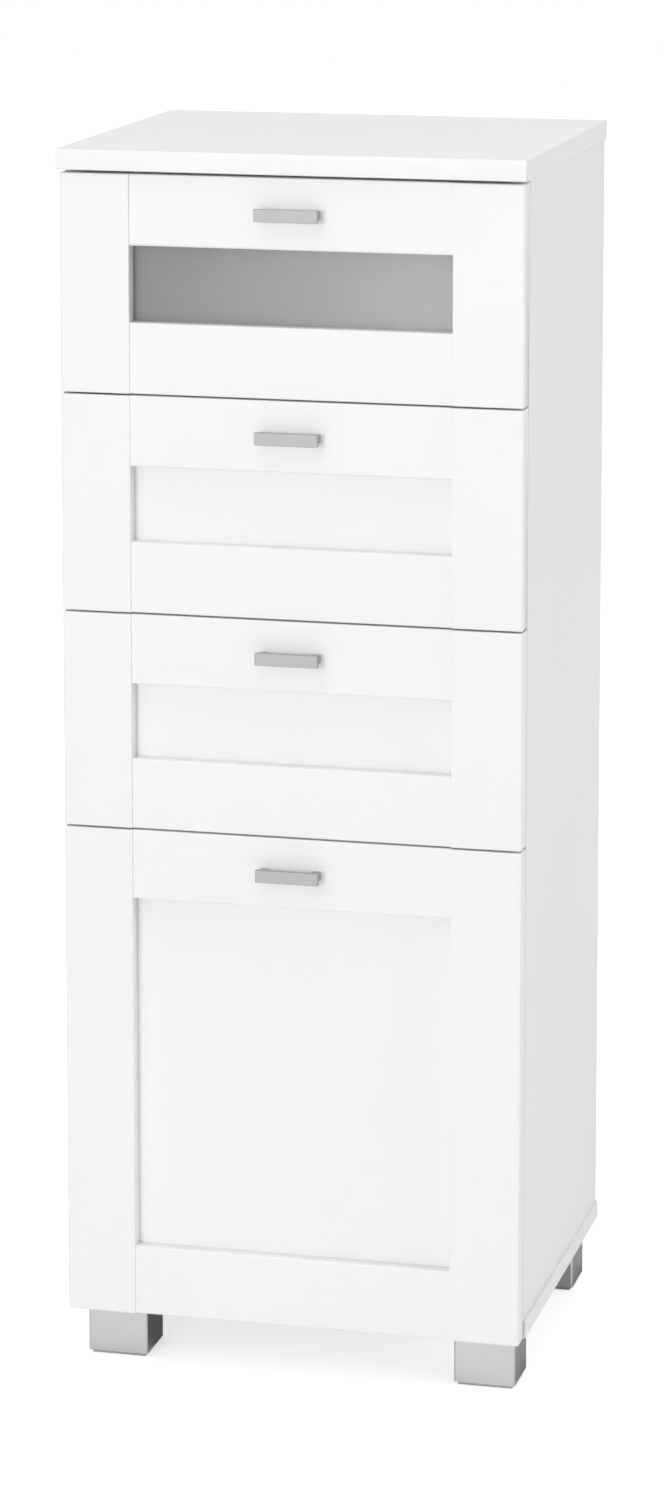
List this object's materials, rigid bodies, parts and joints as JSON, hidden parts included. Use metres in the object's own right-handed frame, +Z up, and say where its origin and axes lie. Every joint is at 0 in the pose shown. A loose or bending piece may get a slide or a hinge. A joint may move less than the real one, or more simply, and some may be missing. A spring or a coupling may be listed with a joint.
{
  "type": "bathroom side cabinet",
  "caption": "Tall slim white bathroom cabinet on square metal feet, with framed drawer fronts, a frosted glass top front and a tilt-out laundry flap.",
  "frame": {"origin": "on the floor under the glides, in the middle of the width and midway between the handles' faces and the rear edges", "axes": "+Z up, -Y towards the fronts and the person using it, +X to that person's right"},
  "size_m": [0.4, 0.361, 1.0555],
  "materials": {
    "white_board": "white foil on wood board, satin",
    "drawer_board": "white foil on thin board, matte",
    "hardboard": "white lacquer on hardboard, matte",
    "frosted_glass": "frosted, satin",
    "handle_metal": "satin",
    "foot_metal": "satin",
    "glide_plastic": "matte",
    "runner_steel": "white coating, satin",
    "roller_nylon": "satin",
    "zinc_steel": "zinc plated",
    "bright_steel": "nickel plated, satin",
    "bin_plastic": "moulded, satin"
  },
  "bodies": {
    "cabinet": {"top_panel": "white_board", "left_side_panel": "white_board", "right_side_panel": "white_board", "base_panel": "white_board", "back_panel": "hardboard", "fixed_shelf": "white_board", "foot_front_left": "foot_metal", "foot_front_right": "foot_metal", "foot_rear_left": "foot_metal", "foot_rear_right": "foot_metal", "foot_glides": "glide_plastic", "left_cabinet_runners": "runner_steel", "right_cabinet_runners": "runner_steel", "carcass_connectors": "zinc_steel", "carcass_screws": "zinc_steel", "flap_hinge_fixed_leaf": "bright_steel", "flap_hinge_pin": "zinc_steel", "flap_guide_pins": "zinc_steel"},
    "drawer_1": {"drawer_1_stiles": "white_board", "drawer_1_rails": "white_board", "drawer_1_glass_pane": "frosted_glass", "drawer_1_box_sides": "drawer_board", "drawer_1_box_back": "drawer_board", "drawer_1_box_bottom": "hardboard", "drawer_1_runners": "runner_steel", "drawer_1_handle": "handle_metal", "drawer_1_fasteners": "zinc_steel"},
    "drawer_1_front_rollers": {"drawer_1_front_rollers": "roller_nylon"},
    "drawer_1_rear_rollers": {"drawer_1_rear_rollers": "roller_nylon"},
    "drawer_2": {"drawer_2_stiles": "white_board", "drawer_2_rails": "white_board", "drawer_2_panel": "white_board", "drawer_2_box_sides": "drawer_board", "drawer_2_box_back": "drawer_board", "drawer_2_box_bottom": "hardboard", "drawer_2_runners": "runner_steel", "drawer_2_handle": "handle_metal", "drawer_2_fasteners": "zinc_steel"},
    "drawer_2_front_rollers": {"drawer_2_front_rollers": "roller_nylon"},
    "drawer_2_rear_rollers": {"drawer_2_rear_rollers": "roller_nylon"},
    "drawer_3": {"drawer_3_stiles": "white_board", "drawer_3_rails": "white_board", "drawer_3_panel": "white_board", "drawer_3_box_sides": "drawer_board", "drawer_3_box_back": "drawer_board", "drawer_3_box_bottom": "hardboard", "drawer_3_runners": "runner_steel", "drawer_3_handle": "handle_metal", "drawer_3_fasteners": "zinc_steel"},
    "drawer_3_front_rollers": {"drawer_3_front_rollers": "roller_nylon"},
    "drawer_3_rear_rollers": {"drawer_3_rear_rollers": "roller_nylon"},
    "flap": {"flap_stiles": "white_board", "flap_rails": "white_board", "flap_panel": "white_board", "flap_handle": "handle_metal", "flap_fasteners": "zinc_steel", "flap_hinge_moving_leaf": "bright_steel", "flap_stays": "bright_steel", "laundry_bin": "bin_plastic", "bin_hanger_rail": "bright_steel"}
  },
  "joints": [
    {"name": "drawer_1_slide", "type": "slide", "parent": "cabinet", "child": "drawer_1", "axis": [0, -1, 0], "range_m": [0, 0.22]},
    {"name": "drawer_1_front_roller_spin", "type": "hinge", "parent": "cabinet", "child": "drawer_1_front_rollers", "pos_m": [0, -0.1305, 0.8805], "axis": [1, 0, 0], "continuous": true},
    {"name": "drawer_1_rear_roller_spin", "type": "hinge", "parent": "drawer_1", "child": "drawer_1_rear_rollers", "pos_m": [0, 0.1375, 0.8805], "axis": [1, 0, 0], "continuous": true},
    {"name": "drawer_2_slide", "type": "slide", "parent": "cabinet", "child": "drawer_2", "axis": [0, -1, 0], "range_m": [0, 0.22]},
    {"name": "drawer_2_front_roller_spin", "type": "hinge", "parent": "cabinet", "child": "drawer_2_front_rollers", "pos_m": [0, -0.1305, 0.6945], "axis": [1, 0, 0], "continuous": true},
    {"name": "drawer_2_rear_roller_spin", "type": "hinge", "parent": "drawer_2", "child": "drawer_2_rear_rollers", "pos_m": [0, 0.1375, 0.6945], "axis": [1, 0, 0], "continuous": true},
    {"name": "drawer_3_slide", "type": "slide", "parent": "cabinet", "child": "drawer_3", "axis": [0, -1, 0], "range_m": [0, 0.22]},
    {"name": "drawer_3_front_roller_spin", "type": "hinge", "parent": "cabinet", "child": "drawer_3_front_rollers", "pos_m": [0, -0.1305, 0.5085], "axis": [1, 0, 0], "continuous": true},
    {"name": "drawer_3_rear_roller_spin", "type": "hinge", "parent": "drawer_3", "child": "drawer_3_rear_rollers", "pos_m": [0, 0.1375, 0.5085], "axis": [1, 0, 0], "continuous": true},
    {"name": "flap_tilt", "type": "hinge", "parent": "cabinet", "child": "flap", "pos_m": [0, -0.1475, 0.0474], "axis": [1, 0, 0], "range_deg": [0, 35]}
  ],
  "couplings": [
    {"joint": "drawer_1_front_roller_spin", "follows": "drawer_1_slide", "rad_per_m": 103.09},
    {"joint": "drawer_1_rear_roller_spin", "follows": "drawer_1_slide", "rad_per_m": 103.09},
    {"joint": "drawer_2_front_roller_spin", "follows": "drawer_2_slide", "rad_per_m": 103.09},
    {"joint": "drawer_2_rear_roller_spin", "follows": "drawer_2_slide", "rad_per_m": 103.09},
    {"joint": "drawer_3_front_roller_spin", "follows": "drawer_3_slide", "rad_per_m": 103.09},
    {"joint": "drawer_3_rear_roller_spin", "follows": "drawer_3_slide", "rad_per_m": 103.09}
  ]
}
